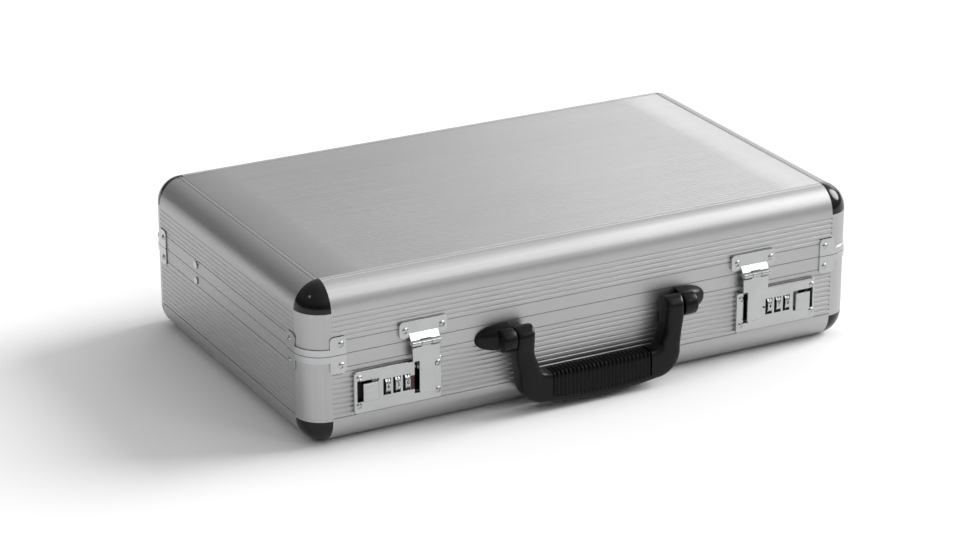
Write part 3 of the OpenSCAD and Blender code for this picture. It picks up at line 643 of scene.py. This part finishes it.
def rounded_slab(name, low, high, radius, material, body):
    """A small pad with rounded edges between two corners."""
    bm = bmesh.new()
    bmesh.ops.create_cube(bm, size=1.0)
    middle, reach = (low + high) / 2, high - low
    for v in bm.verts:
        v.co = Vector((v.co.x * reach.x, v.co.y * reach.y, v.co.z * reach.z)) + middle
    bmesh.ops.bevel(bm, geom=list(bm.edges), offset=radius, segments=3, profile=0.5,
                    affect="EDGES", clamp_overlap=True)
    mesh = bpy.data.meshes.new(name)
    bm.to_mesh(mesh)
    bm.free()
    smooth(mesh, 40)
    return piece(name, mesh, material, body)


def make_locks():
    for side, word in ((-1, "left"), (1, "right")):
        refined("lock_plate_" + word, 0.14 * MM, 0.9 * MM, lock_plate_rim(side))
        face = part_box("slide_button_" + word)[0][1]
        refined("slide_button_" + word, 0.1 * MM, 0.8 * MM,
                lambda at, y=face: at.y < y + 0.4 * MM)
        refined("hasp_" + word, 0.3 * MM)
        refined("keeper_" + word, 0.22 * MM)
        for index in range(3):
            make_dial(side, index)
        # a black sheet on the wall behind the end of the button's slot: painted shade for the deep slot
        ends = sorted((side * 187.2 * MM, side * 193.0 * MM))
        rounded_slab("lock_slot_painted_shade_" + word, Vector((ends[0], WALL_Y - 0.25 * MM, 30.6 * MM)),
                     Vector((ends[1], WALL_Y - 0.02 * MM, 47.2 * MM)), 0.05 * MM,
                     mats["lock_case_black"], "base")
    # the red index beside the left lock's inner dial, and the dark notch beside the right lock's
    plate_face = WALL_Y - LOCK_T
    low = Vector((-150.0 * MM, plate_face - 0.12 * MM, 33.4 * MM))
    high = Vector((-HASP_EDGE + 0.1 * MM, plate_face + 0.6 * MM, 44.6 * MM))
    rounded_slab("lock_index_left", low, high, 0.5 * MM, mats["index_red"], "base")
    low = Vector((147.6 * MM, plate_face - 0.10 * MM, 39.2 * MM))
    high = Vector((149.9 * MM, plate_face + 0.6 * MM, 40.9 * MM))
    rounded_slab("lock_index_right", low, high, 0.5 * MM, mats["lock_case_black"], "base")


def make_fittings():
    """Brackets, hinge leaves and stays with their pressed edges."""
    for shell in ("base", "lid"):
        refined(shell + "_corner_brackets", 0.22 * MM)
        refined("hinge_leaf_" + shell, 0.12 * MM)
    for word in ("left", "right"):
        refined("stay_lower_" + word, 0.2 * MM)
        refined("stay_upper_" + word, 0.2 * MM)


# ---------- lining ----------

def rounded_outline(half_x, half_y, radius, per_corner=10):
    """A rounded rectangle about the middle, anticlockwise."""
    points = []
    for turn, (sx, sy) in enumerate(((1, 1), (-1, 1), (-1, -1), (1, -1))):
        for k in range(per_corner + 1):
            a = math.pi / 2 * (turn + k / per_corner)
            points.append((sx * (half_x - radius) + radius * math.cos(a),
                           sy * (half_y - radius) + radius * math.sin(a)))
    return points


def lining_wall(name, z_low, z_high, hem, node):
    """The wall of cloth-covered board, with a rolled hem along its open edge."""
    outer_x, outer_y = 225 * MM, 135 * MM
    thick = 1.9 * MM
    away = 1 if hem > 0 else -1
    free, foot = (z_high, z_low) if hem > 0 else (z_low, z_high)
    # (depth into the case, height) round the board's section, with a stitched fold below the hem
    section = [(0.1 * MM, foot), (0.1 * MM, free - away * 2 * MM)]
    for k in range(9):
        a = math.pi * k / 8
        section.append((thick / 2 - (thick / 2 - 0.05 * MM) * math.cos(a),
                        free - away * (0.95 * MM - 0.9 * MM * math.sin(a))))
    section += [(thick, free - away * 2.2 * MM), (thick - 0.5 * MM, free - away * 2.9 * MM),
                (thick, free - away * 3.6 * MM), (thick + 0.1 * MM, (free + foot) / 2), (thick, foot)]
    # the cove at the foot, bent in to meet the padded board, and back along its outer side
    reach, drop = 12.4 * MM, 9.2 * MM
    bend = [math.pi / 2 * k / 10 for k in range(1, 11)]
    section += [(thick + (reach - thick) * (1 - math.cos(a)), foot - away * drop * math.sin(a))
                for a in bend]
    section += [(0.1 * MM + (reach - 0.1 * MM) * (1 - math.cos(a)),
                 foot - away * (drop + 1.5 * MM) * math.sin(a)) for a in reversed(bend)]
    rings = []
    for depth, z in section:
        if depth < thick:
            corner = 13.4 * MM - depth
        else:
            corner = blend_to(11.5 * MM, 14 * MM, thick, reach, depth)
        outline = rounded_outline(outer_x - depth, outer_y - depth, corner)
        rings.append([Vector((x, y, z)) for x, y in outline])
    rings.append(rings[0])
    mesh = loft(name, rings, closed_ends=False, degrees=50)
    weld(mesh)
    if node == "base_lining":
        mesh = cut_round_locks(name, mesh)
    return piece(name, mesh, mats["lining_fabric"], BODY_OF[node], (node,))


def cut_round_locks(name, mesh):
    """Takes the openings for the two lock cases out of the front wall of the lining."""
    bm = bmesh.new()
    for side in (-1, 1):
        made = bmesh.ops.create_cube(bm, size=1.0)["verts"]
        for v in made:
            v.co = Vector((side * 159.25 * MM + v.co.x * 74.5 * MM, WALL_Y + 4 * MM + v.co.y * 8.6 * MM,
                           46.6 * MM + v.co.z * 49.2 * MM))
    cutter_mesh = bpy.data.meshes.new("lock_openings")
    bm.to_mesh(cutter_mesh)
    bm.free()
    whole = bpy.data.objects.new("lining_whole", mesh)
    cutter = bpy.data.objects.new("lock_openings", cutter_mesh)
    for obj in (whole, cutter):
        bpy.context.scene.collection.objects.link(obj)
    cut = whole.modifiers.new("openings", "BOOLEAN")
    cut.operation, cut.object = "DIFFERENCE", cutter
    result = bpy.data.meshes.new_from_object(whole.evaluated_get(bpy.context.evaluated_depsgraph_get()))
    result.name = name
    for obj in (whole, cutter):
        bpy.data.objects.remove(obj)
    smooth(result, 50)
    return result


def lining_board(name, z_wall, z_room, node):
    """The padded board over the panel: crowned, with a sewn channel round its edge."""
    columns, rows = 86, 50
    half_x, half_y = 212.5 * MM, 122.5 * MM
    corner = 14 * MM
    way = 1 if z_room > z_wall else -1
    points, faces = [], []

    def place(u, v):
        x, y = half_x * u, half_y * v
        over_x, over_y = abs(x) - (half_x - corner), abs(y) - (half_y - corner)
        if over_x > 0 and over_y > 0:
            reach = max(over_x, over_y)
            norm = math.hypot(over_x, over_y)
            x = math.copysign(half_x - corner + over_x * reach / norm, x)
            y = math.copysign(half_y - corner + over_y * reach / norm, y)
        edge = min(half_x - abs(x), half_y - abs(y))
        roll = 1.2 * MM * (1 - min(edge / (3 * MM), 1.0)) ** 2
        channel = 0.7 * MM * math.exp(-((edge - 9 * MM) / (1.1 * MM)) ** 2)
        pad = 0.25 * MM * (math.sin(x * 61) * math.sin(y * 73 + 0.6))
        return Vector((x, y, z_room - way * (roll + channel + 0.25 * MM + pad)))

    def spread(i, count):
        f = 2 * i / count - 1
        return math.sin(f * math.pi / 2 * 0.88) / math.sin(math.pi / 2 * 0.88)
    for i in range(columns + 1):
        for j in range(rows + 1):
            points.append(place(spread(i, columns), spread(j, rows)))
    row = rows + 1
    for i in range(columns):
        for j in range(rows):
            a = i * row + j
            faces.append((a, a + 1, a + row + 1, a + row))
    rim = list(range(row)) + [i * row + rows for i in range(1, columns + 1)]
    rim += [columns * row + j for j in range(rows - 1, -1, -1)]
    rim += [i * row for i in range(columns - 1, 0, -1)]
    first = len(points)
    points += [Vector((points[i].x, points[i].y, z_wall)) for i in rim]
    for k in range(len(rim)):
        m = (k + 1) % len(rim)
        faces.append((rim[k], rim[m], first + m, first + k))
    faces.append(tuple(first + k for k in range(len(rim))))
    return piece(name, mesh_from(name, points, faces, 50), mats["lining_fabric"], BODY_OF[node],
                 (node,))


LINING_FOOT = 11.1 * MM                             # from the board's back to the wall's foot


def make_lining():
    base_low, base_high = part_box("base_lining")
    lid_low, lid_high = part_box("lid_lining")
    board = 2.0 * MM
    lining_board("base_lining_board", base_low[2], base_low[2] + board, "base_lining")
    lining_board("lid_lining_board", lid_high[2], lid_high[2] - board, "lid_lining")
    lining_wall("lid_lining_wall", lid_low[2], lid_high[2] - LINING_FOOT, -1, "lid_lining")
    lining_wall("base_lining_wall", base_low[2] + LINING_FOOT, base_high[2], 1, "base_lining")


# ---------- stage ----------

def add_camera():
    data = bpy.data.cameras.new("camera")
    camera = bpy.data.objects.new("camera", data)
    bpy.context.scene.collection.objects.link(camera)
    data.sensor_width = 36
    data.lens = 122.04
    azimuth, elevation = math.radians(-28.183), math.radians(21.548)
    back = Vector((math.sin(azimuth) * math.cos(elevation), -math.cos(azimuth) * math.cos(elevation),
                   math.sin(elevation)))
    camera.location = Vector((-1.1280, -2.0871, 0.9808))
    camera.rotation_euler = (-back).to_track_quat("-Z", "Y").to_euler()
    data.clip_end = 60
    bpy.context.scene.camera = camera
    return camera


def aim(lamp, target=(0, 0, 0.06)):
    away = Vector(target) - lamp.location
    lamp.rotation_euler = away.to_track_quat("-Z", "Y").to_euler()


def add_sun(name, toward, strength, spread):
    """A distant lamp seen `toward` from the case, `spread` degrees across."""
    data = bpy.data.lights.new(name, "SUN")
    data.energy = strength
    data.angle = math.radians(spread)
    lamp = bpy.data.objects.new(name, data)
    bpy.context.scene.collection.objects.link(lamp)
    lamp.location = Vector(toward) * 3
    aim(lamp, (0, 0, 0))
    return lamp


def add_card(name, where, size, power):
    data = bpy.data.lights.new(name, "AREA")
    data.shape = "RECTANGLE"
    data.size, data.size_y = size
    data.energy = power
    lamp = bpy.data.objects.new(name, data)
    bpy.context.scene.collection.objects.link(lamp)
    lamp.location = where
    aim(lamp)
    return lamp


WORLD_HORIZON, WORLD_TOP = 0.22, 0.80
WORLD_LEFT = 0.5                                    # how much of that is left on the far left


def add_world():
    """A dim studio: darker near the horizon and on the left, lighter overhead."""
    world = bpy.data.worlds.new("studio")
    world.use_nodes = True
    tree = world.node_tree
    where = tree.nodes.new("ShaderNodeTexCoord").outputs["Generated"]
    parts = tree.nodes.new("ShaderNodeSeparateXYZ")
    tree.links.new(where, parts.inputs[0])
    ramp = tree.nodes.new("ShaderNodeMapRange")
    ramp.interpolation_type = "SMOOTHSTEP"
    ramp.inputs["From Min"].default_value = 0.05
    ramp.inputs["From Max"].default_value = 0.6
    ramp.inputs["To Min"].default_value = WORLD_HORIZON
    ramp.inputs["To Max"].default_value = WORLD_TOP
    tree.links.new(parts.outputs["Z"], ramp.inputs["Value"])
    across = tree.nodes.new("ShaderNodeMapRange")
    across.interpolation_type = "SMOOTHSTEP"
    across.inputs["From Min"].default_value = -0.6
    across.inputs["From Max"].default_value = 0.5
    across.inputs["To Min"].default_value = WORLD_LEFT
    tree.links.new(parts.outputs["X"], across.inputs["Value"])
    both = tree.nodes.new("ShaderNodeMath")
    both.operation = "MULTIPLY"
    tree.links.new(ramp.outputs[0], both.inputs[0])
    tree.links.new(across.outputs[0], both.inputs[1])
    tree.links.new(both.outputs[0], tree.nodes["Background"].inputs["Strength"])
    tree.nodes["Background"].inputs["Color"].default_value = grey(1.0)
    bpy.context.scene.world = world


def add_stage():
    mesh = bpy.data.meshes.new("floor")
    s = 12.0
    mesh.from_pydata([(-s, -s, 0), (s, -s, 0), (s, s, 0), (-s, s, 0)], [], [(0, 1, 2, 3)])
    floor = bpy.data.objects.new("floor", mesh)
    bpy.context.scene.collection.objects.link(floor)
    n = Nodes("floor")
    paint(floor, n.set(Base_Color=grey(0.92), Roughness=0.9))
    add_world()
    bpy.context.scene.view_settings.view_transform = "Standard"
    add_sun("softbox", (0.86, -0.06, 0.51), 3.3, 34)
    add_sun("spark", (-0.69, -0.09, 0.72), 0.10, 7)
    add_sun("front_spark", (0.44, -0.66, 0.61), 0.13, 10)
    add_card("back_card", (2.45, 2.15, 1.1), (2.4, 1.3), 18)


mats = make_materials()
dress_cad(mats)
add_camera()
add_stage()
make_panels()
make_handle()
make_mount("handle_mount_left", -1)
make_mount("handle_mount_right", 1)
make_locks()
make_fittings()
make_lining()
